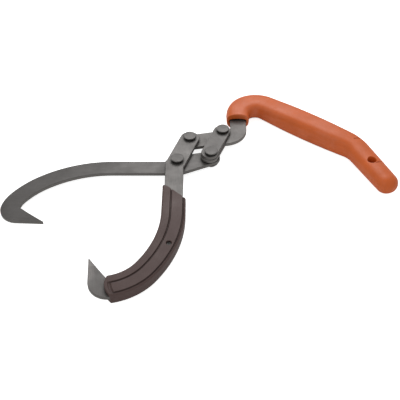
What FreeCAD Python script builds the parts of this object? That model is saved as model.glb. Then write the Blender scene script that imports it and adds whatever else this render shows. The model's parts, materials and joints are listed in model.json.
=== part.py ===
import FreeCAD, Part
import math
import os

# Hand-held log lifting tongs, in millimetres.  Everything is drawn flat, in plan, with the main
# pivot at the origin and the underside of the lowest plate at z = 0, and stacked upwards in
# layers.  The sleeved jaw hangs along -Y, the bare jaw along -X, the handle goes off to +X, +Y.
# At the end the whole tool is moved so that its box stands centred on the origin, on z = 0.

V = FreeCAD.Vector

# ---- plates and layers -------------------------------------------------------------------
PLATE = 3.8                 # thickness of every steel plate
GAP = 0.3                   # daylight between faces that slide past each other
EDGE = 0.45                 # broken edge of a blanked plate
LAYER_1 = 0.0               # underside of the bare jaw and the link plate
LAYER_2 = PLATE + GAP       # underside of the sleeved jaw and the handle tang
LAYER_3 = LAYER_2 + PLATE   # underside of the cheek plate, which lies on the tang
MID = LAYER_2 + PLATE / 2   # middle of the tang, the sleeved jaw, the grip and the sleeve

# ---- four-bar linkage, as it stands with the tips about 70 mm apart -------------------------
BARE_TAIL = 36.0            # main pivot to the bare jaw's tail rivet
BARE_TAIL_ANGLE = 12.0
SLEEVED_TAIL = 39.0         # main pivot to the sleeved jaw's tail rivet
SLEEVED_TAIL_ANGLE = 71.0

# ---- rivets and washers ----------------------------------------------------------------------
RIVET = 4.0                 # shank radius
HEAD = 6.8                  # radius of the flat head
HEAD_WAIST = 6.1            # the head is drawn in where it meets the plate
HEAD_SIDE = 2.3             # height of the head's side, up to the bevel round its top
HEAD_BEVEL = 0.5            # the bevel takes this much off the radius
HEAD_HEIGHT = 3.1
FORMED = 6.5                # radius of the closed end underneath, where it meets the washer
FORMED_CROWN = 4.6          # radius of the flat left on the closed end
FORMED_HEIGHT = 2.4
WASHER = 7.6
WASHER_HEIGHT = 1.2
PIVOT_FIT = 0.08            # radial clearance of a plate that turns on a rivet
OPEN_FIT = 0.10             # the same, at the pivot where the linkage closes

# ---- jaws ----------------------------------------------------------------------------------------
BAR = 18.5                  # width of both jaw bars
CLAW = 27.0                 # straight back of the claw, from its round corner to the point
CLAW_HOLLOW = 0.2           # the claw's inner edge is hollow by this much
TIP_FLAT = 0.8              # width of the blunt point
SHARP = 0.001               # radius of a corner that is left sharp

# A run is (length, 0) or (radius, turn in degrees); see follow() below.
BARE_START = V(0, -6.7, 0)
BARE_RUNS = [(66.5, 0), (117.5, 35.5), (82.5, 22), (30, 26.5)]
BARE_CORNER = 93            # turn of the claw's round corner
BARE_HUB = V(0, -2.5, 0)    # the plate widens to a disc round the main pivot
BARE_HUB_RADIUS = 13.6
BARE_TAIL_RADIUS = 9.7      # round end of the bare jaw's tail

SLEEVED_START = V(-2.5, -4.0, 0)
SLEEVED_RUNS = [(77, 0), (118.5, -36), (47.5, -42.5)]
SLEEVED_CORNER = 97
SLEEVED_HUB = V(-1.5, -4.0, 0)
SLEEVED_LUG = 10.2          # half width of the sleeved jaw's tail

LUG_SHIFT = 1.9             # tail and cheek are wider on the side that faces the linkage
LINK = 10.9                 # half width of the link plate
LINK_SHIFT = 1.2            # and how much wider it is on the side that faces the linkage

# ---- sleeve on the guarded jaw ---------------------------------------------------------------
SLEEVE_SIDE = 11.6          # half width of the sleeve
SLEEVE_HEIGHT = 12.0
SLEEVE_ROUND = 2.0          # radius along its long edges
SLEEVE_TOP = V(-1.8, -42.0, 0)
SLEEVE_RUNS = [(37.5, 0), (118.5, -36), (49, -42)]
SLEEVE_SLANT = 44.0         # the upper end is cut at this angle
SLEEVE_LEVEL = 3.5          # short square part of that end, on the inner side
SLEEVE_BULGE = 4.5          # how far the lower end stands out, rounded
SLEEVE_CORNER = 2.2         # radius of the upright corners at its two ends
GROOVE_SIDE = -2.8          # the groove lies this far from the middle, on the inner side
GROOVE = 0.7                # half width of the groove
GROOVE_DEPTH = 0.9
GROOVE_DROP = 5.0           # it starts this far below the sleeve's inner corner
SLEEVE_PIN_TURN = 19.0      # where the pin sits, in degrees along the first bend
SLEEVE_PIN_SIDE = 3.8       # and how far it stands towards the outer side
SLEEVE_PIN = 2.5
PIN_SINK = 1.6              # its ends lie this far below the sleeve's faces

# ---- handle ----------------------------------------------------------------------------------------
CHEEK_NEAR = 8.6            # half width of the cheek plate at the bare jaw's tail
CHEEK_FAR = 9.0             # and at the link
CHEEK_FAR_SHIFT = 0.6
CHEEK_MARGIN = 0.6          # the tang stands out this far past the cheek plate
HANDLE_X = 65.3             # the tang rises along this line before it enters the grip
ELBOW_Y = 51.5
ELBOW = 25.0                # outer radius of the tang's elbow
ELBOW_TURN = 88.0
TANG = 8.7                  # half width of the tang outside the grip
TANG_RISE = 23.5            # the wide part goes straight up this far
TANG_TURN = -20.0           # and this far round the crest, inside the grip
TANG_INSIDE = 7.0           # half width of the tang inside the grip
TANG_ALONG = 8.0            # it stops this far along the tail, short of the hang hole
MOUTH_Y = 67.0              # where the grip begins
CREST_Y = 75.0              # where the handle starts to bend over
CREST = 20.6                # radius of the handle's bend over the crest
CREST_TURN = -128.0
PALM = 102.4                # straight palm stretch
TAIL_BEND = 38.0
TAIL_TURN = -29.0
TAIL = 50.2                 # straight tail of the grip, to its round end
HOLE_ALONG = 23.2           # hang hole, along the tail
HOLE_SIDE = -1.6            # it lies this far from the middle, away from the palm
HOLE = 4.5
POCKET = 5.0                # depth of the mouth around the tang
POCKET_PLAY = 0.5           # room on each side of the tang in the mouth
POCKET_HEIGHT = 8.0
GRIP_POINTS = 16            # points round one cross-section of the grip
GRIP_SQUARE = 0.75          # 1 would make the cross-section an ellipse; less is squarer
GRIP_END = (25, 48, 66, 80)  # stations of the round end, as angles from its middle

MOUTH_SHARE = (MOUTH_Y - ELBOW_Y) / (CREST_Y - ELBOW_Y)

# Stations of the grip: run, share of the run, half width, half height.
GRIP_STATIONS = [
    (0, MOUTH_SHARE, 12.2, 9.9),
    (0, 1.00, 12.5, 10.1),
    (1, 0.25, 13.0, 10.4),
    (1, 0.50, 13.3, 10.4),
    (1, 0.75, 13.2, 10.4),
    (1, 1.00, 13.2, 10.7),
    (2, 0.35, 13.8, 12.2),
    (2, 0.70, 13.7, 12.4),
    (2, 1.00, 12.9, 11.8),
    (3, 0.50, 12.3, 11.2),
    (3, 1.00, 12.0, 10.7),
    (4, 0.50, 11.7, 10.3),
    (4, 1.00, 11.3, 9.9),
]

TOUCH = 1e-6                # closer than this counts as touching


def heading_vector(angle):
    return V(math.cos(math.radians(angle)), math.sin(math.radians(angle)), 0)


def left_of(angle):
    return heading_vector(angle + 90)


def polar(length, angle):
    return heading_vector(angle) * length


MAIN = V(0, 0, 0)
TAIL_A = polar(BARE_TAIL, BARE_TAIL_ANGLE)
TAIL_B = polar(SLEEVED_TAIL, SLEEVED_TAIL_ANGLE)
HANDLE = TAIL_A + TAIL_B


def follow(start, heading, runs, side=0.0):
    """Edges of the line that lies `side` to the left of a chain of straight runs and arcs.

    A run is (length, 0) or (radius, turn in degrees).  Returns the edges, the end and the
    heading there.
    """
    edges = []
    point = start
    for size, turn in runs:
        if turn == 0:
            end = point + polar(size, heading)
            shift = left_of(heading) * side
            edges.append(Part.LineSegment(point + shift, end + shift).toShape())
        else:
            hand = math.copysign(1, turn)
            centre = point + left_of(heading) * (hand * size)
            places = [
                centre - left_of(heading + part * turn) * (hand * size - side)
                for part in (0, 0.5, 1)
            ]
            edges.append(Part.Arc(*places).toShape())
            end = centre - left_of(heading + turn) * (hand * size)
            heading += turn
        point = end
    return edges, point, heading


def start_of(edge):
    return edge.firstVertex(True).Point


def end_of(edge):
    return edge.lastVertex(True).Point


def closed_face(edges):
    """A face from edges that run one after another, with straight edges across any gaps."""
    loop = []
    for index, edge in enumerate(edges):
        loop.append(edge)
        here = end_of(edge)
        there = start_of(edges[(index + 1) % len(edges)])
        if here.distanceToPoint(there) > TOUCH:
            loop.append(Part.LineSegment(here, there).toShape())
    return Part.Face(Part.Wire(loop))


def backwards(edges):
    turned = []
    for edge in reversed(edges):
        middle = edge.valueAt((edge.FirstParameter + edge.LastParameter) / 2)
        if isinstance(edge.Curve, Part.Circle):
            turned.append(Part.Arc(end_of(edge), middle, start_of(edge)).toShape())
        else:
            turned.append(Part.LineSegment(end_of(edge), start_of(edge)).toShape())
    return turned


def raised(face, bottom, height):
    face = face.copy()
    face.translate(V(0, 0, bottom))
    return face.extrude(V(0, 0, height))


def bar_face(start, heading, runs, half, middle=0.0):
    """A strip of even width along a chain of runs, with its middle that far to the left."""
    right = follow(start, heading, runs, middle - half)[0]
    left = follow(start, heading, runs, middle + half)[0]
    return closed_face(right + backwards(left))


def lug_face(first, second, first_radius, second_radius):
    """Two discs and the strip between their outer tangents."""
    along = second - first
    length = along.Length
    angle = math.degrees(math.atan2(along.y, along.x))
    lean = math.degrees(math.asin((first_radius - second_radius) / length))
    right, left = angle - 90 + lean, angle + 90 - lean
    edges = [
        Part.LineSegment(
            first + polar(first_radius, right), second + polar(second_radius, right)
        ).toShape(),
        Part.Arc(
            second + polar(second_radius, right),
            second + polar(second_radius, angle),
            second + polar(second_radius, left),
        ).toShape(),
        Part.LineSegment(
            second + polar(second_radius, left), first + polar(first_radius, left)
        ).toShape(),
        Part.Arc(
            first + polar(first_radius, left),
            first - polar(first_radius, angle),
            first + polar(first_radius, right),
        ).toShape(),
    ]
    return closed_face(edges)


def claw_bar_face(start, heading, runs, corner):
    """A jaw bar with its claw: the back turns a round corner and runs on to the point, and the
    inner edge comes back from the point to the inner corner in a shallow hollow."""
    hand = math.copysign(1, corner)
    half = BAR / 2
    outer, end, last = follow(start, heading, runs, -hand * half)
    inner = follow(start, heading, runs, hand * half)[0]
    inner_corner = end + left_of(last) * (hand * half)
    back = follow(inner_corner, last, [(SHARP, corner), (CLAW, 0)], -hand * BAR)[0]
    tip = end_of(back[-1])
    blunt = tip + left_of(last + corner) * (hand * TIP_FLAT)
    middle = (blunt + inner_corner) * 0.5
    across = (blunt - inner_corner).normalize()
    deepest = middle + V(across.y, -across.x, 0) * (hand * CLAW_HOLLOW)
    hollow = Part.Arc(blunt, deepest, inner_corner).toShape()
    return closed_face(outer + back + [hollow] + backwards(inner))


def pin_hole(centre, radius):
    """A round hole through everything the tool has above and below this place."""
    reach = 3 * SLEEVE_HEIGHT
    return Part.makeCylinder(radius, 2 * reach, centre + V(0, 0, MID - reach))


def broken_edges(plate, bottom, size=EDGE):
    """Chamfers the edges of a plate's two flat faces."""
    levels = (bottom, bottom + PLATE)
    picked = []
    for edge in plate.Edges:
        box = edge.BoundBox
        if box.ZLength < TOUCH and min(abs(box.ZMin - level) for level in levels) < TOUCH:
            picked.append(edge)
    return plate.makeChamfer(size, picked)


def flat_plate(faces, bottom, holes):
    """One plate from overlapping faces, with its holes and broken edges."""
    solid = raised(faces[0], bottom, PLATE)
    for face in faces[1:]:
        solid = solid.fuse(raised(face, bottom, PLATE))
    solid = solid.removeSplitter()
    solid = broken_edges(solid.Solids[0], bottom)
    for centre, radius in holes:
        solid = solid.cut(pin_hole(centre, radius))
    return solid.Solids[0]


def bare_jaw():
    bar = claw_bar_face(BARE_START, 180, BARE_RUNS, BARE_CORNER)
    tail_end = TAIL_A + left_of(BARE_TAIL_ANGLE) * LUG_SHIFT
    tail = lug_face(BARE_HUB, tail_end, BARE_HUB_RADIUS, BARE_TAIL_RADIUS)
    holes = [(MAIN, RIVET), (TAIL_A, RIVET + PIVOT_FIT)]
    return flat_plate([bar, tail], LAYER_1, holes)


def sleeved_jaw():
    bar = claw_bar_face(SLEEVED_START, 270, SLEEVED_RUNS, -SLEEVED_CORNER)
    tail = lug_face(SLEEVED_HUB, TAIL_B, SLEEVED_LUG, SLEEVED_LUG)
    pin = sleeve_pin_place()
    holes = [(MAIN, RIVET + PIVOT_FIT), (TAIL_B, RIVET), (pin, SLEEVE_PIN)]
    return flat_plate([bar, tail], LAYER_2, holes)


def link_plate():
    shift = left_of(BARE_TAIL_ANGLE) * -LINK_SHIFT
    face = lug_face(TAIL_B + shift, HANDLE + shift, LINK, LINK)
    return flat_plate([face], LAYER_1, [(TAIL_B, RIVET + PIVOT_FIT), (HANDLE, RIVET + OPEN_FIT)])


def cheek_face(extra):
    inward = left_of(SLEEVED_TAIL_ANGLE)
    near = TAIL_A + inward * LUG_SHIFT
    far = HANDLE + inward * CHEEK_FAR_SHIFT
    return lug_face(near, far, CHEEK_NEAR + extra, CHEEK_FAR + extra)


def cheek_plate():
    return flat_plate([cheek_face(0)], LAYER_3, [(TAIL_A, RIVET), (HANDLE, RIVET)])


def handle_runs(tail):
    """Middle line of the handle from the elbow on, with its tail cut to this length."""
    rise = (CREST_Y - ELBOW_Y, 0)
    return [rise, (CREST, CREST_TURN), (PALM, 0), (TAIL_BEND, TAIL_TURN), (tail, 0)]


HANDLE_START = V(HANDLE_X, ELBOW_Y, 0)


def elbow_face():
    """The tang's elbow: a quarter disc that swings the plate round from the link to the grip."""
    centre = V(HANDLE_X + TANG - ELBOW, ELBOW_Y, 0)
    places = [centre + polar(ELBOW, -ELBOW_TURN * part) for part in (1, 0.5, 0)]
    arc = Part.Arc(*places).toShape()
    side = Part.LineSegment(end_of(arc), centre).toShape()
    return closed_face([arc, side])


def handle_tang():
    outside = bar_face(HANDLE_START, 90, [(TANG_RISE, 0), (CREST, TANG_TURN)], TANG)
    inside = bar_face(HANDLE_START, 90, handle_runs(TANG_ALONG), TANG_INSIDE)
    holes = [(TAIL_A, RIVET), (HANDLE, RIVET)]
    return flat_plate([cheek_face(CHEEK_MARGIN), elbow_face(), outside, inside], LAYER_2, holes)


def rivet(centre, head_from, washer_top):
    """A rivet with a flat, waisted head on top and an end closed over a washer underneath."""
    washer_bottom = washer_top - WASHER_HEIGHT
    end = washer_bottom - FORMED_HEIGHT
    shank = Part.makeCylinder(RIVET, head_from - washer_bottom, centre + V(0, 0, washer_bottom))
    waist = Part.makeCone(HEAD_WAIST, HEAD, HEAD_SIDE, centre + V(0, 0, head_from))
    bevel_from = head_from + HEAD_SIDE
    bevel = Part.makeCone(
        HEAD, HEAD - HEAD_BEVEL, HEAD_HEIGHT - HEAD_SIDE, centre + V(0, 0, bevel_from)
    )
    formed = Part.makeCone(FORMED_CROWN, FORMED, FORMED_HEIGHT, centre + V(0, 0, end))
    return shank.fuse([waist, bevel, formed]).removeSplitter().Solids[0]


def washer(centre, top):
    ring = Part.makeCylinder(WASHER, WASHER_HEIGHT, centre + V(0, 0, top - WASHER_HEIGHT))
    hole = Part.makeCylinder(RIVET, WASHER_HEIGHT, centre + V(0, 0, top - WASHER_HEIGHT))
    return ring.cut(hole).Solids[0]


def sleeve_pin_place():
    runs = [SLEEVE_RUNS[0], (SLEEVE_RUNS[1][0], -SLEEVE_PIN_TURN)]
    edges = follow(SLEEVE_TOP, 270, runs, SLEEVE_PIN_SIDE)[0]
    return end_of(edges[-1])


def sleeve_drop():
    """How much lower the sleeve's outer side begins than its inner side."""
    return (2 * SLEEVE_SIDE - SLEEVE_LEVEL) * math.tan(math.radians(SLEEVE_SLANT))


def sleeve_outline():
    """The sleeve in plan: slanted at the top with its inner side longer, rounded below."""
    outer = follow(SLEEVE_TOP, 270, SLEEVE_RUNS, SLEEVE_SIDE)[0]
    inner, end, last = follow(SLEEVE_TOP, 270, SLEEVE_RUNS, -SLEEVE_SIDE)
    ahead = heading_vector(last)
    outer_end, inner_end = end_of(outer[-1]), end_of(inner[-1])
    lower = Part.Arc(outer_end, (outer_end + inner_end) * 0.5 + ahead * SLEEVE_BULGE, inner_end)
    outer_start = start_of(outer[0]) + V(0, -sleeve_drop(), 0)
    outer[0] = Part.LineSegment(outer_start, end_of(outer[0])).toShape()
    inner_start = start_of(inner[0])
    level = Part.LineSegment(inner_start, inner_start + V(SLEEVE_LEVEL, 0, 0)).toShape()
    slant = Part.LineSegment(end_of(level), outer_start).toShape()
    return closed_face(outer + [lower.toShape()] + backwards(inner) + [level, slant])


def sleeve_body():
    solid = raised(sleeve_outline(), MID - SLEEVE_HEIGHT / 2, SLEEVE_HEIGHT)
    corners = [edge for edge in solid.Edges if is_upright(edge) and is_sleeve_corner(edge)]
    solid = solid.makeFillet(SLEEVE_CORNER, corners)
    flat = [edge for edge in solid.Edges if edge.BoundBox.ZLength < TOUCH]
    return solid.makeFillet(SLEEVE_ROUND, flat)


def is_upright(edge):
    return edge.BoundBox.ZLength > TOUCH and isinstance(edge.Curve, Part.Line)


def is_sleeve_corner(edge):
    """Picks the four corners at the sleeve's two ends, not the seams along its sides."""
    place = edge.firstVertex().Point
    place.z = 0
    lower_end = follow(SLEEVE_TOP, 270, SLEEVE_RUNS)[1]
    at_lower_end = place.distanceToPoint(lower_end) < SLEEVE_SIDE + SLEEVE_CORNER
    at_upper_end = place.y > SLEEVE_TOP.y - sleeve_drop() - SLEEVE_CORNER
    return at_lower_end or at_upper_end


def jaw_sleeve(jaw):
    top = MID + SLEEVE_HEIGHT / 2
    start = SLEEVE_TOP + V(0, -GROOVE_DROP, 0)
    runs = [(SLEEVE_RUNS[0][0] - GROOVE_DROP, 0)] + SLEEVE_RUNS[1:]
    groove = bar_face(start, 270, runs, GROOVE, GROOVE_SIDE)
    solid = sleeve_body().cut(raised(groove, top - GROOVE_DEPTH, 2 * GROOVE_DEPTH))
    solid = solid.cut(pin_hole(sleeve_pin_place(), SLEEVE_PIN))
    return solid.cut(jaw).Solids[0]


def sleeve_pin():
    height = SLEEVE_HEIGHT - 2 * PIN_SINK
    return Part.makeCylinder(SLEEVE_PIN, height, sleeve_pin_place() + V(0, 0, MID - height / 2))


def grip_section(place, heading, half_width, half_height):
    """A squarish closed curve across the grip, flatter on top and bottom than at the sides."""
    points = []
    for index in range(GRIP_POINTS):
        angle = 2 * math.pi * index / GRIP_POINTS
        across = math.copysign(abs(math.cos(angle)) ** GRIP_SQUARE, math.cos(angle))
        up = math.copysign(abs(math.sin(angle)) ** GRIP_SQUARE, math.sin(angle))
        shift = left_of(heading) * (across * half_width)
        points.append(place + shift + V(0, 0, MID + up * half_height))
    curve = Part.BSplineCurve()
    curve.interpolate(points, PeriodicFlag=True)
    return Part.Wire(curve.toShape())


def grip_stations():
    """(place, heading, half width, half height) along the grip, with its round end."""
    runs = handle_runs(TAIL)
    stations = []
    for run, share, half_width, half_height in GRIP_STATIONS:
        size, turn = runs[run]
        part = (size * share, 0) if turn == 0 else (size, turn * share)
        place, heading = follow(HANDLE_START, 90, runs[:run] + [part])[1:]
        stations.append((place, heading, half_width, half_height))
    place, heading, half_width, half_height = stations[-1]
    for angle in GRIP_END:
        shrink = math.cos(math.radians(angle))
        ahead = polar(half_width * math.sin(math.radians(angle)), heading)
        stations.append((place + ahead, heading, half_width * shrink, half_height * shrink))
    return stations


def hang_hole_place():
    place, heading = follow(HANDLE_START, 90, handle_runs(HOLE_ALONG))[1:]
    return place + left_of(heading) * HOLE_SIDE


def grip(tang):
    sections = [grip_section(*station) for station in grip_stations()]
    solid = Part.makeLoft(sections, True, False)
    half = TANG + POCKET_PLAY
    corner = V(HANDLE_X - half, MOUTH_Y - POCKET, MID - POCKET_HEIGHT / 2)
    solid = solid.cut(Part.makeBox(2 * half, 2 * POCKET, POCKET_HEIGHT, corner))
    solid = solid.cut(pin_hole(hang_hole_place(), HOLE))
    return solid.cut(tang).Solids[0]


def main():
    jaw = sleeved_jaw()
    tang = handle_tang()
    cheek_top = LAYER_3 + PLATE
    parts = {
        "bare_jaw": bare_jaw(),
        "sleeved_jaw": jaw,
        "jaw_sleeve": jaw_sleeve(jaw),
        "sleeve_pin": sleeve_pin(),
        "link_plate": link_plate(),
        "handle_tang": tang,
        "cheek_plate": cheek_plate(),
        "grip": grip(tang),
        "main_pivot_rivet": rivet(MAIN, LAYER_3 + GAP, LAYER_1),
        "sleeved_jaw_tail_rivet": rivet(TAIL_B, LAYER_3, LAYER_1 - GAP),
        "bare_jaw_tail_rivet": rivet(TAIL_A, cheek_top, LAYER_1 - GAP),
        "handle_rivet": rivet(HANDLE, cheek_top, LAYER_1 - GAP),
        "main_pivot_washer": washer(MAIN, LAYER_1),
        "sleeved_jaw_tail_washer": washer(TAIL_B, LAYER_1 - GAP),
        "bare_jaw_tail_washer": washer(TAIL_A, LAYER_1 - GAP),
        "handle_washer": washer(HANDLE, LAYER_1 - GAP),
    }
    box = FreeCAD.BoundBox()
    for shape in parts.values():
        box.add(shape.optimalBoundingBox())
    shift = V(-box.Center.x, -box.Center.y, -box.ZMin)
    os.makedirs("parts", exist_ok=True)
    for name, shape in parts.items():
        shape.translate(shift)
        shape.exportStep("parts/" + name + ".step")
        print(name, shape.isValid(), len(shape.Solids), round(shape.Volume))
    pivots = {"main": MAIN, "tail_a": TAIL_A, "tail_b": TAIL_B, "handle": HANDLE}
    for name, place in {**pivots, "hang_hole": hang_hole_place()}.items():
        print(name, place + shift)
    print("box", box.XLength, box.YLength, box.ZLength, "shift", shift)


main()
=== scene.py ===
import json
import math

import bpy
from bpy.props import FloatProperty, FloatVectorProperty, PointerProperty
from bpy.types import Operator, Panel, PropertyGroup
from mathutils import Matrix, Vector


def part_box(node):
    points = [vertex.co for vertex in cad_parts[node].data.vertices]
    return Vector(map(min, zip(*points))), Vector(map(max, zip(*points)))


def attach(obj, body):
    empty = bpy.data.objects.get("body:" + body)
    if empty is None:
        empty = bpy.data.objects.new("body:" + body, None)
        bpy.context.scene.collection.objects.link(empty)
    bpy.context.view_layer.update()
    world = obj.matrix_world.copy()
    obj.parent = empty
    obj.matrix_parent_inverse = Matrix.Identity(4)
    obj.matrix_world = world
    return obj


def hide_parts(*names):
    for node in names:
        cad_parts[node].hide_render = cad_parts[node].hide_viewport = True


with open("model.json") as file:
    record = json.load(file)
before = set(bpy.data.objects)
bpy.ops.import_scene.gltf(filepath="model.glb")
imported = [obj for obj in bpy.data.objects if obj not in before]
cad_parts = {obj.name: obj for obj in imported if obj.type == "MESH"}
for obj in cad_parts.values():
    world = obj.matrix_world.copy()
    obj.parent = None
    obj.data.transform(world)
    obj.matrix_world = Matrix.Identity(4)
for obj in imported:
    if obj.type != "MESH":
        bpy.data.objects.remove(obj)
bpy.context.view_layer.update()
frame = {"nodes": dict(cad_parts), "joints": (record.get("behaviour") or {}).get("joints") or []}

bl_info = {
    "name": "Log Lifting Tongs",
    "version": (1, 0, 0),
    "blender": (4, 5, 0),
    "location": "View3D > Sidebar > Tongs",
    "description": "Finishes the packed tongs: plates, rivets, sleeve and grip, on a plain stage",
    "category": "Object",
}

# The tool is drawn in plan, in millimetres from the main pivot; heights are from the floor.
MM = 0.001
MAIN = Vector(next(j["pos_m"] for j in frame["joints"] if j["name"] == "jaw_hinge"))
LOW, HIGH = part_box("handle_tang")
MID = (LOW.z + HIGH.z) / 2 / MM  # middle of the tang, the grip and the sleeve

# Straight runs (length, 0) and arcs (radius, turn in degrees) of the handle, from the elbow.
HANDLE_START = (65.3, 51.5)
HANDLE_HEADING = 90.0
GRIP_RUNS = [(23.5, 0), (20.6, -128.0), (102.4, 0), (38.0, -29.0), (50.2, 0)]
MOUTH = 15.5  # the grip begins this far along the runs
HANG_HOLE = (4, 23.2, -1.6)  # run, distance along it, distance to its left
HANG_HOLE_RADIUS = 4.5
HANG_HOLE_RIM = [(3.5, -4.0), (0.75, -0.1), (0.35, 0.25), (0.1, 0.6), (0.0, 1.1)]
# run, share of the run, half width, half height
GRIP_STATIONS = [
    (0, MOUTH / GRIP_RUNS[0][0], 12.2, 9.9),
    (0, 1.00, 12.5, 10.1),
    (1, 0.25, 13.0, 10.4),
    (1, 0.50, 13.3, 10.4),
    (1, 0.75, 13.2, 10.4),
    (1, 1.00, 13.2, 10.7),
    (2, 0.35, 13.8, 12.2),
    (2, 0.70, 13.7, 12.4),
    (2, 1.00, 12.9, 11.8),
    (3, 0.50, 12.3, 11.2),
    (3, 1.00, 12.0, 10.7),
    (4, 0.50, 11.7, 10.3),
    (4, 1.00, 11.3, 9.9),
]
# How square its section is, besides the setting for the palm: 2 is an ellipse.
MOUTH_LESS = 0.5  # less at the mouth
TAIL_POWERS = (2.5, 2.2)  # at the tail's start and further on
POWER_REACH = 60.0  # length of the palm that stays square, and of the tail that changes
GRIP_RINGS = 190
GRIP_SPOTS = 96  # points round a ring, besides those at the seams
SEAM_SPOTS = (-0.03, -0.013, 0.013, 0.03)  # angles of those, in radians from the seam
SEAM_REACH = 0.022  # sine of the angle where the seam has died away
POCKET_HALF = (9.3, 3.6)  # half width and half height of the mouth's hollow
POCKET_DEPTHS = (5.0, 3.0, 1.2)  # from its floor out
POCKET_FLARE = 0.45  # how far it opens out at the lip
POCKET_POWERS = (3.2, 3.0)  # squareness inside and at the lip
SCORE_RADIUS = 0.85
SCORE_LIFT = 0.15  # of the radius, that its middle lies above the surface
# run, distance along it, then (along, side) of a scored line's two ends with its middle between
SCORED_LINES = [
    (3, 0.0, [(7.5, -0.2), (8.6, 4.4), (10.6, 8.4)]),
    (HANG_HOLE[0], HANG_HOLE[1], [(6.4, -1.0), (5.6, 2.4), (6.4, 6.2)]),
]

SLEEVE_START = (-1.8, -42.0)
SLEEVE_HEADING = 270.0
SLEEVE_RUNS = [(37.5, 0), (118.5, -36.0), (49.0, -42.0)]
SLEEVE_HALF = (11.6, 6.0)
SLEEVE_LEVEL = 3.5  # the upper end is square for this much, then slants
SLEEVE_SLANT = 44.0
SLEEVE_BULGE = 4.2  # how far the rounded lower end stands out
SLEEVE_GROOVES = [(-2.8, 1.05, 1.4), (9.2, 0.95, 1.3)]  # side, half width, depth
END_GROOVE = (-2.2, 1.0, 1.2)  # along from the lower end, half width, depth
SLEEVE_RINGS = 104
END_RINGS = 24  # on the last stretch, where the bulge grows
END_STRETCH = 5.5
ROUNDING = 0.7  # of the sleeve's two end faces
BAR_ROOM = (0.1, 0.25)  # round the bar, inside the mouth and at its edge
MOUTH_STEPS = (3.0, 0.5)  # depths of the mouth's inner rings
SLEEVE_PIN_RADIUS = 2.5
PIN_TONE = 0.3  # against the plates
PIN_ROUND = 0.45
PIN_GAP = 0.05  # between the pin and its hole, where it shows
PIN_DIMPLE = [(0.0, 0.5), (1.1, 0.5), (1.3, 0.05)]  # radius, depth
PIN_HOLE_RIM = [(2.4, -2.0), (0.5, 0.0), (0.02, 0.5)]  # beyond the pin, depth
BAR_HALF = (9.25, 1.9)  # the jaw bar inside the sleeve
BAR_SIDE_TOP = -0.7  # it is this far off the sleeve's middle above
BAR_SIDE_LOW = 0.8  # and below

RIVET_SHANK = 4.0
HEAD_RADIUS = 6.8
HEAD_HEIGHT = 3.1
HEAD_SEAT = 0.02  # how far the head sinks into what it sits on
CROWN_SHARES = (0.2, 0.4, 0.55, 0.7, 0.8, 0.88)  # of the head's radius
CROWN_EASE = 0.98  # keeps the dome a little below its middle point
HEAD_SIDE = [(0.03, 0.85), (0.2, 1.15)]  # in from the head's rim, down from its top
HEAD_NECK = [(0.25, 1.9), (0.05, 2.3)]  # out from the undercut, down from the top
FORMED_RADIUS = 6.5
FORMED_HEIGHT = 2.4
FORMED_RIM = 0.3  # upright part of the formed head's side
FORMED_ROUND = 1.9  # how far its rounding comes in
FORMED_SHARES = (0.15, 0.3, 0.45, 0.6, 0.75, 0.88, 1.0)  # of a right angle
FORMED_DIMPLE = [(3.4, 0.02), (2.6, 0.12), (1.2, 0.3), (0.0, 0.32)]  # radius, depth
WASHER_RADIUS = 7.6
WASHER_TONE = 1.15  # against the plates
WASHER_RIM = 0.3  # rounding of its two outer corners
BORE_TOP = 0.1  # chamfers of its bore
BORE_LOW = 0.2


# ---- places ---------------------------------------------------------------------------------
def run_length(size, turn):
    """Length of a straight run, or of an arc."""
    return size if turn == 0 else abs(math.radians(turn)) * size


def walk(start, heading, runs, distance):
    """Place and heading (degrees) a distance along straight runs and arcs."""
    x, y = start
    angle = math.radians(heading)
    for size, turn in runs:
        step = min(distance, run_length(size, turn))
        if turn == 0:
            x += step * math.cos(angle)
            y += step * math.sin(angle)
        else:
            radius = math.copysign(size, turn)
            x -= radius * math.sin(angle)
            y += radius * math.cos(angle)
            angle += step / radius
            x += radius * math.sin(angle)
            y -= radius * math.cos(angle)
        distance -= step
    x += distance * math.cos(angle)
    y += distance * math.sin(angle)
    return x, y, math.degrees(angle)


def run_start(runs, count):
    """Distance from the start to the beginning of one of the runs."""
    return sum(run_length(size, turn) for size, turn in runs[:count])


def plan_point(x, y, z):
    """A place in metres from plan millimetres and a height in millimetres above the floor."""
    return Vector((MAIN.x + x * MM, MAIN.y + y * MM, z * MM))


def beside(place, side, z):
    """The point that lies `side` millimetres to the left of a place on a path."""
    x, y, heading = place
    angle = math.radians(heading + 90)
    return plan_point(x + side * math.cos(angle), y + side * math.sin(angle), z)


def smooth_value(keys, at):
    """Value at `at` on a smooth curve through (position, value) pairs."""
    if at <= keys[0][0]:
        return keys[0][1]
    if at >= keys[-1][0]:
        return keys[-1][1]
    spot = max(i for i in range(len(keys) - 1) if keys[i][0] <= at)
    (x0, y0), (x1, y1) = keys[spot], keys[spot + 1]
    before, after = keys[max(spot - 1, 0)], keys[min(spot + 2, len(keys) - 1)]
    slope_0 = (y1 - before[1]) / (x1 - before[0])
    slope_1 = (after[1] - y0) / (after[0] - x0)
    gap = x1 - x0
    t = (at - x0) / gap
    return (
        (2 * t**3 - 3 * t**2 + 1) * y0
        + (t**3 - 2 * t**2 + t) * gap * slope_0
        + (3 * t**2 - 2 * t**3) * y1
        + (t**3 - t**2) * gap * slope_1
    )


# ---- meshes ---------------------------------------------------------------------------------
SHARP = 35.0  # edges that bend more than this stay crisp


def shade(mesh, sharp=SHARP):
    mesh.shade_smooth()
    mesh.set_sharp_from_angle(angle=math.radians(sharp))


def new_object(name, points, faces, sharp=SHARP):
    mesh = bpy.data.meshes.new(name)
    mesh.from_pydata(points, [], faces)
    mesh.validate()
    shade(mesh, sharp)
    made = bpy.data.objects.new(name, mesh)
    bpy.context.scene.collection.objects.link(made)
    return made


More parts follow.
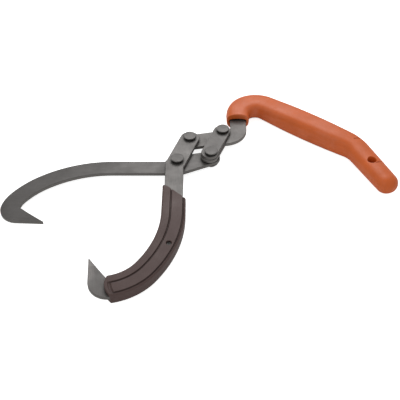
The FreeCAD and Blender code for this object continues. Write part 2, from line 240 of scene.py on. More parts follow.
def skin(name, rings, ends=(True, True), sharp=SHARP):
    """A skin over closed rings of equal count, with a fan over each end that is closed."""
    count = len(rings[0])
    points = [point for ring in rings for point in ring]
    faces = []
    for ring in range(len(rings) - 1):
        for spot in range(count):
            after = (spot + 1) % count
            low, high = ring * count, (ring + 1) * count
            faces.append((low + spot, low + after, high + after, high + spot))
    for last, wanted in ((False, ends[0]), (True, ends[1])):
        if not wanted:
            continue
        ring = rings[-1 if last else 0]
        centre = len(points)
        points.append(sum(ring, Vector()) / count)
        base = (len(rings) - 1) * count if last else 0
        for spot in range(count):
            after = (spot + 1) % count
            pair = (base + spot, base + after) if last else (base + after, base + spot)
            faces.append((*pair, centre))
    return new_object(name, points, faces, sharp)


def lathe(name, centre, profile, segments=72):
    """Turns (radius, height) pairs, in millimetres, round an upright axis; radius 0 closes it."""
    rings = []
    for radius, height in profile:
        ring = []
        for spot in range(segments):
            angle = 2 * math.pi * spot / segments
            reach = max(radius, 0.02)  # a ring this small is closed by its fan
            x, y = centre[0] + reach * math.cos(angle), centre[1] + reach * math.sin(angle)
            ring.append(plan_point(x, y, height))
        rings.append(ring)
    return skin(name, rings, (profile[0][0] == 0, profile[-1][0] == 0))


def quarter(radius_at, height_at, size, start, end, steps=5):
    """Points of a rounded corner, angles in degrees."""
    pairs = []
    for step in range(steps + 1):
        angle = math.radians(start + (end - start) * step / steps)
        pairs.append((radius_at + size * math.cos(angle), height_at + size * math.sin(angle)))
    return pairs


def hole_cutter(name, centre, radius, rim, low, high, segments):
    """Cutter from face to face; `rim` lists (beyond the radius, depth into the piece) at each."""
    lower = [(radius + beyond, low + depth) for beyond, depth in rim]
    upper = [(radius + beyond, high - depth) for beyond, depth in reversed(rim)]
    profile = [(0, lower[0][1]), *lower, *upper, (0, upper[-1][1])]
    return lathe(name, centre, profile, segments)


def carve(piece, cutters):
    """Cuts closed shapes out of a piece and throws the shapes away."""
    for cutter in cutters:
        cut = piece.modifiers.new("cut", "BOOLEAN")
        cut.operation = "DIFFERENCE"
        cut.solver = "EXACT"
        cut.object = cutter
    bpy.context.view_layer.update()
    evaluated = piece.evaluated_get(bpy.context.evaluated_depsgraph_get())
    mesh = bpy.data.meshes.new_from_object(evaluated)
    piece.modifiers.clear()
    piece.data = mesh
    shade(mesh)
    for cutter in cutters:
        bpy.data.objects.remove(cutter)


def finish_piece(piece, material, body, nodes):
    """Gives a piece its material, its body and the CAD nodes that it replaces."""
    piece.data.materials.clear()
    piece.data.materials.append(material)
    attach(piece, body)
    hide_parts(*nodes)


# ---- node helpers ---------------------------------------------------------------------------
def feed(tree, socket, value):
    """Links another node's output to a socket, or sets a plain value on it."""
    if isinstance(value, bpy.types.NodeSocket):
        tree.links.new(value, socket)
    else:
        socket.default_value = value


def add(tree, kind, props=None, values=(), **inputs):
    """Adds a node. Each input is a plain value or the output socket of another node."""
    made = tree.nodes.new(kind)
    for name, value in (props or {}).items():
        setattr(made, name, value)
    pairs = list(enumerate(values)) + [(key.replace("_", " "), v) for key, v in inputs.items()]
    for key, value in pairs:
        feed(tree, made.inputs[key], value)
    return made


def maths(tree, operation, *values):
    return add(tree, "ShaderNodeMath", {"operation": operation}, values).outputs[0]


def vector_maths(tree, operation, *values):
    """A number for the dot product and the distance, a vector for the rest."""
    made = add(tree, "ShaderNodeVectorMath", {"operation": operation}, values)
    return made.outputs["Value" if operation in ("DOT_PRODUCT", "DISTANCE") else "Vector"]


def remap(tree, value, low, high, to_low=0.0, to_high=1.0):
    return add(tree, "ShaderNodeMapRange", None, (value, low, high, to_low, to_high)).outputs[0]


def mix(tree, factor, first, second):
    """Colour between two others. The node keeps its colour sockets at 6, 7 and output 2."""
    made = add(tree, "ShaderNodeMix", {"data_type": "RGBA"})
    for key, value in ((0, factor), (6, first), (7, second)):
        feed(tree, made.inputs[key], value)
    return made.outputs[2]


def object_place(tree):
    return add(tree, "ShaderNodeTexCoord").outputs["Object"]


def noise(tree, vector, scale, detail=3.0, roughness=0.55):
    made = add(tree, "ShaderNodeTexNoise", Vector=vector, Scale=scale, Detail=detail)
    made.inputs["Roughness"].default_value = roughness
    return made.outputs["Fac"]


def streak_noise(tree, place, angle, stretch, scale, detail, roughness):
    """Noise drawn out into streaks that lie at an angle in plan."""
    turn = add(tree, "ShaderNodeCombineXYZ", None, (0.0, 0.0, angle)).outputs[0]
    props = {"rotation_type": "EULER_XYZ"}
    turned = add(tree, "ShaderNodeVectorRotate", props, Vector=place, Rotation=turn).outputs[0]
    drawn = vector_maths(tree, "MULTIPLY", turned, (stretch, 1.0, 1.0))
    return noise(tree, drawn, scale, detail, roughness)


def add_up(tree, parts):
    whole = parts[0]
    for part in parts[1:]:
        whole = maths(tree, "ADD", whole, part)
    return whole


def mixed_tone(tree, shares):
    """One tone from 0 to 1 out of (noise, share) pairs."""
    return add_up(tree, [remap(tree, value, 0.3, 0.7, 0.0, share) for value, share in shares])


def mixed_height(tree, shares):
    """One height out of (noise, share) pairs."""
    return add_up(tree, [maths(tree, "MULTIPLY", value, share) for value, share in shares])


# ---- shared effects -------------------------------------------------------------------------
FLOAT, VECTOR = "NodeSocketFloat", "NodeSocketVector"


def group_tree(name, inputs, outputs):
    """An empty shader group with named sockets, and its input and output nodes' sockets."""
    tree = bpy.data.node_groups.new(name, "ShaderNodeTree")
    for label, kind, default in inputs:
        made = tree.interface.new_socket(name=label, in_out="INPUT", socket_type=kind)
        made.default_value = default
    for label, kind in outputs:
        tree.interface.new_socket(name=label, in_out="OUTPUT", socket_type=kind)
    return tree, tree.nodes.new("NodeGroupInput").outputs, tree.nodes.new("NodeGroupOutput").inputs


def edge_wear_group(name):
    """Mask of the edges that hands, logs and the other plates rub, broken up by noise."""
    tree, take, give = group_tree(
        name,
        [("Width", FLOAT, 0.0006), ("Amount", FLOAT, 1.0), ("Patch size", FLOAT, 90.0)],
        [("Mask", FLOAT)],
    )
    bent = add(tree, "ShaderNodeBevel", {"samples": 6}, Radius=take["Width"]).outputs[0]
    flat = add(tree, "ShaderNodeNewGeometry").outputs["Normal"]
    edge = remap(tree, vector_maths(tree, "DOT_PRODUCT", bent, flat), 0.995, 0.86)
    cloud = noise(tree, object_place(tree), take["Patch size"], 4.0)
    patches = remap(tree, cloud, 0.38, 0.62, 0.25, 1.0)
    worn = maths(tree, "MULTIPLY", maths(tree, "MULTIPLY", edge, patches), take["Amount"])
    tree.links.new(worn, give["Mask"])
    return tree


def gap_shade_group(name):
    """Mask of the gaps between pieces, found by ambient occlusion and broken up by noise: painted shade
    where shade falls.
    """
    tree, take, give = group_tree(
        name, [("Reach", FLOAT, 0.004), ("Amount", FLOAT, 1.0)], [("Mask", FLOAT)]
    )
    # painted shade: ambient occlusion finds where shade falls in the gaps, and noise breaks it up
    near = add(tree, "ShaderNodeAmbientOcclusion", {"samples": 8}, Distance=take["Reach"])
    broken = remap(tree, noise(tree, object_place(tree), 220.0, 4.0), 0.3, 0.7, 0.75, 1.0)
    dark = maths(tree, "MULTIPLY", remap(tree, near.outputs["AO"], 0.85, 0.3), broken)
    tree.links.new(maths(tree, "MULTIPLY", dark, take["Amount"]), give["Mask"])
    return tree


def steel_surface_group(name):
    """Mottled oxide of rolled plate: its tone, its grain, and a mask of its upright sides, which are
    painted lighter for the floor's light they catch.
    """
    tree, take, give = group_tree(
        name,
        [("Patch size", FLOAT, 55.0), ("Grain size", FLOAT, 1500.0), ("Roll angle", FLOAT, 0.0)],
        [("Tone", FLOAT), ("Grain", FLOAT), ("Lit sides", FLOAT)],
    )
    place = object_place(tree)
    clouds = noise(tree, place, take["Patch size"], 5.0, 0.6)
    streaks = streak_noise(tree, place, take["Roll angle"], 0.06, 900.0, 3.0, 0.6)
    grain = noise(tree, place, take["Grain size"], 2.0, 0.7)
    tone = mixed_tone(tree, [(clouds, 0.6), (streaks, 0.25), (grain, 0.15)])
    tree.links.new(tone, give["Tone"])
    tree.links.new(mixed_height(tree, [(grain, 0.6), (streaks, 0.4)]), give["Grain"])
    facing = add(tree, "ShaderNodeTexCoord").outputs["Normal"]
    upright = add(tree, "ShaderNodeSeparateXYZ", None, (facing,)).outputs["Z"]
    tree.links.new(remap(tree, maths(tree, "ABSOLUTE", upright), 0.5, 0.2), give["Lit sides"])
    return tree


def ground_patch_group(name):
    """Where a claw has been ground bright: a soft disc round its middle, with fine lines."""
    tree, take, give = group_tree(
        name,
        [("Middle", VECTOR, (0.0, 0.0, 0.0)), ("Reach", FLOAT, 0.03), ("Angle", FLOAT, 0.0)],
        [("Mask", FLOAT), ("Lines", FLOAT)],
    )
    place = object_place(tree)
    away = vector_maths(tree, "DISTANCE", place, take["Middle"])
    cloud = maths(tree, "SUBTRACT", noise(tree, place, 130.0, 4.0), 0.5)
    ragged = maths(tree, "ADD", away, maths(tree, "MULTIPLY", cloud, 0.016))
    share = maths(tree, "DIVIDE", ragged, take["Reach"])
    tree.links.new(remap(tree, share, 1.0, 0.6), give["Mask"])
    lines = streak_noise(tree, place, take["Angle"], 0.04, 1400.0, 2.0, 0.5)
    tree.links.new(remap(tree, lines, 0.35, 0.65), give["Lines"])
    return tree


def moulded_surface_group(name):
    """Skin of a moulded plastic part: fine dimples, gentle flow marks and rubbed patches."""
    tree, take, give = group_tree(
        name,
        [("Grain size", FLOAT, 1600.0), ("Flow size", FLOAT, 45.0)],
        [("Height", FLOAT), ("Tone", FLOAT), ("Rubbed", FLOAT)],
    )
    place, size = object_place(tree), take["Grain size"]
    cells = add(tree, "ShaderNodeTexVoronoi", {"feature": "SMOOTH_F1"}, Vector=place, Scale=size)
    fine = noise(tree, place, size, 2.0)
    height = mixed_height(tree, [(cells.outputs["Distance"], 0.6), (fine, 0.4)])
    tree.links.new(height, give["Height"])
    flow = noise(tree, place, take["Flow size"], 5.0, 0.6)
    speck = noise(tree, place, 700.0, 3.0, 0.7)
    tree.links.new(mixed_tone(tree, [(flow, 0.7), (speck, 0.3)]), give["Tone"])
    tree.links.new(remap(tree, noise(tree, place, 28.0, 4.0, 0.65), 0.45, 0.65), give["Rubbed"])
    return tree


GROUPS = {
    "Edge wear": edge_wear_group,
    "Painted gap shade": gap_shade_group,
    "Plate surface": steel_surface_group,
    "Ground patch": ground_patch_group,
    "Moulded surface": moulded_surface_group,
}


def place_group(tree, name, **inputs):
    """Places a shared group, which is built when the first material asks for it."""
    group = bpy.data.node_groups.get(name) or GROUPS[name](name)
    return add(tree, "ShaderNodeGroup", {"node_tree": group}, **inputs).outputs


# ---- materials ------------------------------------------------------------------------------
def new_material(name):
    material = bpy.data.materials.new(name)
    material.use_nodes = True
    tree = material.node_tree
    shader = tree.nodes["Principled BSDF"]
    return material, tree, shader


def colour_of(value, gain=1.0):
    return (value[0] * gain, value[1] * gain, value[2] * gain, 1.0)


def bump(tree, shader, height, strength, distance):
    made = add(tree, "ShaderNodeBump", Strength=strength, Distance=distance, Height=height)
    tree.links.new(made.outputs[0], shader.inputs["Normal"])


# The steel: how far its effects reach, as shares, changes of roughness and metres.
LIT_SIDE_SHARE = 0.55  # of the upright sides' lighter colour, painted light from the floor
WEAR_SHARE = 0.6  # of bright steel on a worn edge
STEEL_SWING = 0.08  # of the roughness either way, with the tone
WEAR_POLISH = 0.1  # taken off the roughness of a worn edge
PATCH_POLISH = 0.06  # and of a ground patch
LINE_GAINS = (0.72, 1.15)  # bright steel between and on the ground lines
LINE_HEIGHT = 0.8  # against the grain's
# reach of the painted shade in the gaps between the plates, in metres
STEEL_SHADE_REACH = 0.004
STEEL_BUMP = (0.35, 0.00012)  # strength, distance

# The same for the plastics.
TONE_GAINS = (0.9, 1.1)  # darkest and palest of the colour
RUBBED_SHARE = 0.25
RUBBED_POLISH = 0.06
PLASTIC_SWING = (0.06, -0.05)  # roughness at the darkest and the palest
PLASTIC_WEAR = (0.0012, 60.0)  # width, size of the patches
# reach of the painted shade in the grooves and gaps of the plastics, in metres
PLASTIC_SHADE_REACH = 0.0025
PLASTIC_BUMP = 0.00025


def steel_material(name, settings, tone=1.0, claw=None, roll=0.0):
    """Dark satin steel; `claw` is (middle, reach, angle, strength) of a ground patch."""
    material, tree, shader = new_material(name)
    surface = place_group(tree, "Plate surface", Roll_angle=roll)
    wear = place_group(tree, "Edge wear", Width=settings.wear_width, Amount=settings.wear)["Mask"]
    colour = mix(tree, surface["Tone"], colour_of(settings.dark, tone), colour_of(settings.light, tone))
    # Painted light: the upright cut sides are made lighter, standing in for the floor's light that they
    # catch.
    sides = maths(tree, "MULTIPLY", surface["Lit sides"], LIT_SIDE_SHARE)
    colour = mix(tree, sides, colour, colour_of(settings.side))
    dull, shiny = settings.roughness + STEEL_SWING, settings.roughness - STEEL_SWING
    rough = remap(tree, surface["Tone"], 0.0, 1.0, dull, shiny)
    height = surface["Grain"]
    if claw:
        middle, reach, angle, strength = claw
        patch = place_group(tree, "Ground patch", Middle=middle, Reach=reach, Angle=angle)
        between, on_line = (colour_of(settings.bright, gain) for gain in LINE_GAINS)
        lined = mix(tree, patch["Lines"], between, on_line)
        colour = mix(tree, maths(tree, "MULTIPLY", patch["Mask"], strength), colour, lined)
        lines = maths(tree, "MULTIPLY", patch["Lines"], patch["Mask"])
        height = maths(tree, "ADD", height, maths(tree, "MULTIPLY", lines, LINE_HEIGHT))
        rough = maths(tree, "SUBTRACT", rough, maths(tree, "MULTIPLY", patch["Mask"], PATCH_POLISH))
    colour = mix(tree, maths(tree, "MULTIPLY", wear, WEAR_SHARE), colour, colour_of(settings.bright))
    # Painted shade: the gaps between the plates, where ambient occlusion finds shade, are darkened towards
    # near black.
    gap = place_group(tree, "Painted gap shade", Reach=STEEL_SHADE_REACH, Amount=settings.gap_shade_amount)["Mask"]
    colour = mix(tree, gap, colour, colour_of(settings.painted_gap_shade))
    rough = maths(tree, "SUBTRACT", rough, maths(tree, "MULTIPLY", wear, WEAR_POLISH))
    tree.links.new(colour, shader.inputs["Base Color"])
    tree.links.new(rough, shader.inputs["Roughness"])
    shader.inputs["Metallic"].default_value = settings.metallic
    bump(tree, shader, height, *STEEL_BUMP)
    return material


def plastic_material(name, settings, grain, texture, edge, gloss, dark, gap_shade_share):
    """Moulded plastic with a fine dimpled skin, paler where hands rub it.

    `grain` is the dimples' number per metre and `texture` their strength; `edge` is how far edges
    are rubbed, and the last two set the painted shade in the grooves and gaps: the colour's gain there and
    how much of it they take.
    """
    material, tree, shader = new_material(name)
    rubbed = colour_of(settings.rubbed)
    surface = place_group(tree, "Moulded surface", Grain_size=grain)
    width, patch = PLASTIC_WEAR
    wear = place_group(tree, "Edge wear", Width=width, Amount=edge, Patch_size=patch)["Mask"]
    darkest, palest = (colour_of(settings.colour, gain) for gain in TONE_GAINS)
    colour = mix(tree, surface["Tone"], darkest, palest)
    colour = mix(tree, maths(tree, "MULTIPLY", surface["Rubbed"], RUBBED_SHARE), colour, rubbed)
    colour = mix(tree, wear, colour, rubbed)
    # Painted shade: the grooves and gaps, where ambient occlusion finds shade, take a darker copy of the
    # colour.
    gap = place_group(tree, "Painted gap shade", Reach=PLASTIC_SHADE_REACH, Amount=gap_shade_share)["Mask"]
    colour = mix(tree, gap, colour, colour_of(settings.colour, dark))
    dull, shiny = (settings.roughness + change for change in PLASTIC_SWING)
    rough = remap(tree, surface["Tone"], 0.0, 1.0, dull, shiny)
    rough = maths(tree, "SUBTRACT", rough, maths(tree, "MULTIPLY", surface["Rubbed"], RUBBED_POLISH))
    tree.links.new(colour, shader.inputs["Base Color"])
    tree.links.new(rough, shader.inputs["Roughness"])
    shader.inputs["Specular IOR Level"].default_value = gloss
    bump(tree, shader, surface["Height"], texture, PLASTIC_BUMP)
    return material


# ---- settings -------------------------------------------------------------------------------
def colour_property(name, text, value):
    return FloatVectorProperty(
        name=name, description=text, default=value, subtype="COLOR", size=3, min=0.0, max=1.0
    )


def length_property(name, text, value, low=0.0, high=0.05):
    return FloatProperty(
        name=name, description=text, default=value, min=low, max=high, unit="LENGTH", precision=5
    )


def share_property(name, text, value):
    return FloatProperty(name=name, description=text, default=value, min=0.0, max=1.0, subtype="FACTOR")


class TongsSteelSettings(PropertyGroup):
    dark: colour_property("Dark oxide", "Darker tone of the plates", (0.108, 0.102, 0.097))
    light: colour_property("Light oxide", "Lighter tone of the plates", (0.175, 0.166, 0.160))
    # Painted light: the lighter colour given to the upright cut sides, for the floor's light that they
    # catch.
    side: colour_property("Blanked side", "Painted light on the plates' cut sides", (0.200, 0.188, 0.175))
    # Painted shade: the near black that the shaded gaps between the plates are darkened to, and how far.
    painted_gap_shade: colour_property("Crevice", "Painted shade in the gaps", (0.018, 0.016, 0.014))
    gap_shade_amount: share_property("Grime", "How dark the gaps between the plates are", 0.9)
    bright: colour_property("Bright steel", "Ground and worn steel", (0.290, 0.270, 0.260))
    wear: share_property("Edge wear", "How far the edges are rubbed bright", 0.7)
    wear_width: length_property("Wear width", "Width of the worn edges", 0.0006, 0.0, 0.005)
    roughness: share_property("Roughness", "Roughness of the plates", 0.46)
    metallic: share_property("Metallic", "How metallic the oxide looks", 0.6)


class TongsRivetSettings(PropertyGroup):
    tone: FloatProperty(
        name="Tone", description="Brightness against the plates", default=0.8, min=0.2, max=2.0
    )
    crown: length_property("Crown", "How far the head's top is domed", 0.00022, 0.0, 0.002)
    corner: length_property("Corner", "Radius of the head's upper corner", 0.0005, 0.0001, 0.002)
    undercut: length_property("Undercut", "How far the head is drawn in below", 0.0017, 0.0, 0.003)


class TongsSleeveSettings(PropertyGroup):
    colour: colour_property("Colour", "Brown plastic of the sleeve", (0.080, 0.047, 0.042))
    rubbed: colour_property("Rubbed", "Paler plastic where it is rubbed", (0.125, 0.090, 0.080))
    roughness: share_property("Roughness", "Roughness of the sleeve", 0.5)
    corner: length_property("Corner", "Radius along the long edges", 0.0018, 0.0003, 0.004)


class TongsGripSettings(PropertyGroup):
    colour: colour_property("Colour", "Orange plastic of the grip", (0.570, 0.106, 0.014))
    rubbed: colour_property("Rubbed", "Paler plastic where hands rub it", (0.640, 0.200, 0.110))
    roughness: share_property("Roughness", "Roughness of the grip", 0.42)
    squareness: FloatProperty(
        name="Squareness", description="2 is an ellipse, more is squarer", default=3.1, min=2.0, max=6.0
    )
    seam: length_property("Seam", "Height of the moulding seam", 0.00012, 0.0, 0.001)
    lip: length_property("Lip", "Radius of the mouth's lip", 0.0009, 0.0002, 0.002)


class TongsStageSettings(PropertyGroup):
    floor: colour_property("Floor", "Colour of the floor", (0.93, 0.93, 0.925))
    glow: FloatProperty(name="Floor glow", description="Extra whiteness of the floor", default=0.9, min=0.0)
    lens: FloatProperty(name="Lens", description="Focal length", default=63.0, min=20.0, max=200.0)
    tilt: FloatProperty(
        name="Tilt", description="Camera angle below the horizon", default=math.radians(44),
        min=0.0, max=math.pi / 2, subtype="ANGLE",
    )
    distance: length_property("Distance", "Camera to the middle of its view", 0.6923, 0.1, 3.0)
    key: FloatProperty(name="Overhead light", description="Power in watts", default=1.75, min=0.0)
    fill: FloatProperty(name="Front light", description="Power in watts", default=1.2, min=0.0)
    world: FloatProperty(name="Surroundings", description="Brightness of the room", default=0.58, min=0.0)


class TongsSettings(PropertyGroup):
    steel: PointerProperty(type=TongsSteelSettings)
    rivets: PointerProperty(type=TongsRivetSettings)
    sleeve: PointerProperty(type=TongsSleeveSettings)
    grip: PointerProperty(type=TongsGripSettings)
    stage: PointerProperty(type=TongsStageSettings)


# ---- pieces ---------------------------------------------------------------------------------
SLEEVED_CLAW = (-99.0, -142.0)  # middle of its ground patch, in plan
CLAW_REACH = 0.034  # radius of the patch in metres
PLATES = [
    # node, tone, ground patch, angle of its lines, its strength, roll angle
    ("bare_jaw", 0.8, None, 0.0, 0.0, 0.1),
    ("sleeved_jaw", 1.0, SLEEVED_CLAW, 1.45, 0.85, 1.5),
    ("link_plate", 1.02, None, 0.0, 0.0, 0.4),
    ("handle_tang", 1.0, None, 0.0, 0.0, 1.3),
    ("cheek_plate", 0.88, None, 0.0, 0.0, 0.9),
]


class TONGS_OT_finish_plates(Operator):
    """Gives the jaws, the link, the tang and the cheek plate their dark satin steel"""

    bl_idname = "tongs.finish_plates"
    bl_label = "Finish plates"

    def execute(self, context):
        settings = context.scene.tongs.steel
        for node_name, tone, claw, angle, strength, roll in PLATES:
            patch = None
            if claw:
                patch = (plan_point(*claw, MID), CLAW_REACH, angle, strength)
            material = steel_material("steel_" + node_name, settings, tone, patch, roll)
            plate = frame["nodes"][node_name]
            plate.data.materials.clear()
            plate.data.materials.append(material)
        return {"FINISHED"}


RIVETS = [
    # stem of the rivet's and the washer's names, body
    ("main_pivot", "bare_jaw"),
    ("sleeved_jaw_tail", "sleeved_jaw"),
    ("bare_jaw_tail", "handle"),
    ("handle", "handle"),
]


def plan_centre(node_name):
    """Middle of a node in plan, in millimetres from the main pivot."""
    low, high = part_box(node_name)
    middle = (low + high) / 2 - MAIN
    return middle.x / MM, middle.y / MM


class TONGS_OT_build_rivets(Operator):
    """Turns the four flat-headed rivets, closed over underneath"""

    bl_idname = "tongs.build_rivets"
    bl_label = "Build rivets"

    def execute(self, context):
        scene = context.scene
        settings = scene.tongs.rivets
        material = steel_material("steel_rivets", scene.tongs.steel, settings.tone)
        corner, crown = settings.corner / MM, settings.crown / MM
        inner = HEAD_RADIUS - settings.undercut / MM
        for stem, body in RIVETS:
            node_name = stem + "_rivet"
            low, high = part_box(node_name)
            bottom, top = low.z / MM, high.z / MM
            seat = top - HEAD_HEIGHT - HEAD_SEAT
            closed = bottom + FORMED_HEIGHT
            profile = [(0, top + crown)]
            for share in CROWN_SHARES:
                rise = crown * (1 - share**2) * CROWN_EASE
                profile.append((HEAD_RADIUS * share, top + rise))
            profile += quarter(HEAD_RADIUS - corner, top - corner, corner, 90, 0)
            profile += [(HEAD_RADIUS - inward, top - down) for inward, down in HEAD_SIDE]
            profile += [(inner + outward, top - down) for outward, down in HEAD_NECK]
            profile += [(inner, seat), (RIVET_SHANK, seat), (RIVET_SHANK, closed)]
            profile += [(FORMED_RADIUS, closed), (FORMED_RADIUS, closed - FORMED_RIM)]
            for share in FORMED_SHARES:
                angle = share * math.pi / 2
                radius = FORMED_RADIUS - FORMED_ROUND * (1 - math.cos(angle))
                drop = FORMED_RIM + (FORMED_HEIGHT - FORMED_RIM) * math.sin(angle)
                profile.append((radius, closed - drop))
            profile += [(radius, bottom + depth) for radius, depth in FORMED_DIMPLE]
            piece = lathe(node_name + "_turned", plan_centre(node_name), profile[::-1])
            finish_piece(piece, material, body, [node_name])
        return {"FINISHED"}


class TONGS_OT_build_washers(Operator):
    """Stamps the four washers that the rivets are closed over"""

    bl_idname = "tongs.build_washers"
    bl_label = "Build washers"

    def execute(self, context):
        scene = context.scene
        material = steel_material("steel_washers", scene.tongs.steel, WASHER_TONE)
        for stem, body in RIVETS:
            node_name = stem + "_washer"
            low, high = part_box(node_name)
            bottom, top = low.z / MM, high.z / MM
            edge = WASHER_RADIUS - WASHER_RIM
            profile = [(RIVET_SHANK, top - BORE_TOP), (RIVET_SHANK + BORE_TOP, top)]
            profile += quarter(edge, top - WASHER_RIM, WASHER_RIM, 90, 0, steps=4)
            profile += quarter(edge, bottom + WASHER_RIM, WASHER_RIM, 0, -90, steps=4)
            profile += [(RIVET_SHANK + BORE_LOW, bottom), (RIVET_SHANK, bottom + BORE_LOW), profile[0]]
            piece = lathe(node_name + "_stamped", plan_centre(node_name), profile[::-1], segments=64)
            finish_piece(piece, material, body, [node_name])
        return {"FINISHED"}


GROOVE_SPOTS = (1.5, 1.0, 0.6, 0.25, 0.0, -0.25, -0.6, -1.0, -1.5)  # of its half width
TOP_SPOTS = (6.0, 3.4, 1.0, -6.5)  # sides of the points between the grooves
TOP_EDGE = 0.93  # share of the way out to the rounded corner
GROOVE_SHOULDER = 1.6  # from a groove's edge to the next point
EDGE_SPOTS = (0.3, 0.05, -0.05, -0.3)  # of the half height, down the narrow sides
UNDER_COUNT = 12  # spaces across the underside


def sleeve_section(inset, corner):
    """(side, height) pairs round the sleeve; side is positive outside the jaw's curve."""
    half_side, half_height = SLEEVE_HALF[0] - inset, SLEEVE_HALF[1] - inset
    corner = max(corner - inset, 0.05)
    flat = half_side - corner
    across = [*TOP_SPOTS, flat * TOP_EDGE]
    for side, half, _ in SLEEVE_GROOVES:
        across += [side + half * spot for spot in GROOVE_SPOTS] + [side - half - GROOVE_SHOULDER]
    across = sorted({side for side in across if -flat < side < flat}, reverse=True)
    faces = (
        [(side, half_height) for side in across],
        [(-half_side, spot * half_height) for spot in EDGE_SPOTS],
        [(-flat + 2 * flat * step / UNDER_COUNT, -half_height) for step in range(1, UNDER_COUNT)],
        [(half_side, -spot * half_height) for spot in EDGE_SPOTS],
    )
    points = []
    for quadrant, (right, up) in enumerate(((1, 1), (-1, 1), (-1, -1), (1, -1))):
        middle = (right * flat, up * (half_height - corner))
        points += quarter(*middle, corner, 90 * quadrant, 90 * quadrant + 90, 6)
        points += faces[quadrant]
    return points


def groove_share(reach):
    """Share of a groove's depth, at a share of the way from its middle to its edge."""
    return (1 - reach**2) ** 0.8 if reach < 1 else 0.0


def groove_depth(side):
    """Depth of the grooves at a side position, on the sleeve's upper face."""
    return max(deep * groove_share(abs(side - at) / half) for at, half, deep in SLEEVE_GROOVES)


def end_groove_depth(side, along, depth):
    """Near the lower end the two grooves stop at a third one, which crosses between them."""
    first, last = SLEEVE_GROOVES[0][0], SLEEVE_GROOVES[1][0]
    middle, half, deep = END_GROOVE
    reach = abs(along - middle) / half
    if along > middle:
        depth *= max(0.0, 1 - reach)
    if first - 0.5 < side < last + 0.5:
        depth = max(depth, deep * groove_share(reach))
    return depth


def sleeve_drop(side):
    """How far down the slanted upper end begins at a side position."""
    level = SLEEVE_LEVEL - SLEEVE_HALF[0]
    return max(0.0, side - level) * math.tan(math.radians(SLEEVE_SLANT))


def sleeve_bulge(side):
    """How far the rounded lower end stands out at a side position."""
    return SLEEVE_BULGE * (1 - (side / SLEEVE_HALF[0]) ** 2)


def sleeve_point(along, side, height):
    return beside(walk(SLEEVE_START, SLEEVE_HEADING, SLEEVE_RUNS, along), side, MID + height)


def sleeve_mesh(corner):
    """The sleeve: slanted above, rounded below, with its grooves and a mouth round the bar."""
    length = run_start(SLEEVE_RUNS, len(SLEEVE_RUNS))
    straight = SLEEVE_RUNS[0][0]

    def ring(along, inset=0.0, low=False):
        """A ring a distance from the upper end, or from the lower one if `low`."""
        points = []
        for side, height in sleeve_section(inset, corner):
            depth = 0.0
            if height > SLEEVE_HALF[1] - inset - 0.01:
                depth = groove_depth(side)
                if low:
                    depth = end_groove_depth(side, along, depth)
            here = along
            if low:
                # the bulge grows over the last stretch, so that the rings do not cross
                here += length + sleeve_bulge(side) * min(1.0, along / END_STRETCH + 1)
            elif along < straight:
                drop = sleeve_drop(side)
                here = drop + along * (straight - drop) / straight
            points.append(sleeve_point(here, side, height - depth))
        return points

    def bar_ring(along, room, low=False):
        """The mouth round the bar, with the section's own number of points."""
        points = []
        for side, height in sleeve_section(0.0, corner):
            scale = max(abs(side) / (BAR_HALF[0] + room), abs(height) / (BAR_HALF[1] + room))
            side = side / scale + (BAR_SIDE_LOW if low else BAR_SIDE_TOP)
            here = along + (length + sleeve_bulge(side) if low else sleeve_drop(side))
            points.append(sleeve_point(here, side, height / scale))
        return points

    inside, edge = BAR_ROOM
    rings = [bar_ring(depth, inside) for depth in MOUTH_STEPS] + [bar_ring(0.0, edge)]
    for step in range(5):
        angle = math.radians(22.5 * step)
        rings.append(ring(ROUNDING * (1 - math.cos(angle)), ROUNDING * (1 - math.sin(angle))))
    plain = length - END_STRETCH - ROUNDING
    for step in range(1, SLEEVE_RINGS + 1):
        rings.append(ring(ROUNDING + plain * step / SLEEVE_RINGS))
    for step in range(1, END_RINGS + 1):
        rings.append(ring(END_STRETCH * (step / END_RINGS - 1), low=True))
    for step in range(1, 6):
        angle = math.radians(18 * step)
        rings.append(ring(ROUNDING * math.sin(angle), ROUNDING * (1 - math.cos(angle)), True))
    rings.append(bar_ring(ROUNDING, edge, True))
    rings += [bar_ring(ROUNDING - depth, inside, True) for depth in reversed(MOUTH_STEPS)]
    return skin("jaw_sleeve_moulded", rings, sharp=40.0)


class TONGS_OT_build_sleeve(Operator):
    """Moulds the brown sleeve on the guarded jaw, and the pin that holds it"""

    bl_idname = "tongs.build_sleeve"
    bl_label = "Build sleeve"

    def execute(self, context):
        scene = context.scene
        settings = scene.tongs.sleeve
        piece = sleeve_mesh(settings.corner / MM)
        low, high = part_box("sleeve_pin")
        centre = plan_centre("sleeve_pin")
        faces = MID - SLEEVE_HALF[1], MID + SLEEVE_HALF[1]
        carve(piece, [hole_cutter("pin_hole", centre, SLEEVE_PIN_RADIUS, PIN_HOLE_RIM, *faces, 48)])
        # The last two settings paint shade into the grooves and the gaps round the pin.
        material = plastic_material(
            "sleeve_plastic", settings,
            grain=1300.0, texture=0.5, edge=0.5, gloss=0.35, dark=0.08, gap_shade_share=1.0,
        )
        finish_piece(piece, material, "sleeved_jaw", ["jaw_sleeve"])
        pin_top, pin_bottom = high.z / MM, low.z / MM
        edge = SLEEVE_PIN_RADIUS - PIN_ROUND - PIN_GAP
        profile = [(radius, pin_top - depth) for radius, depth in PIN_DIMPLE]
        profile += quarter(edge, pin_top - PIN_ROUND, PIN_ROUND, 90, 0)
        profile += quarter(edge, pin_bottom + PIN_ROUND, PIN_ROUND, 0, -90)
        profile += [(0, pin_bottom)]
        pin = lathe("sleeve_pin_turned", centre, profile[::-1], segments=48)
        dark = steel_material("steel_pin", scene.tongs.steel, PIN_TONE)
        finish_piece(pin, dark, "sleeved_jaw", ["sleeve_pin"])
        return {"FINISHED"}


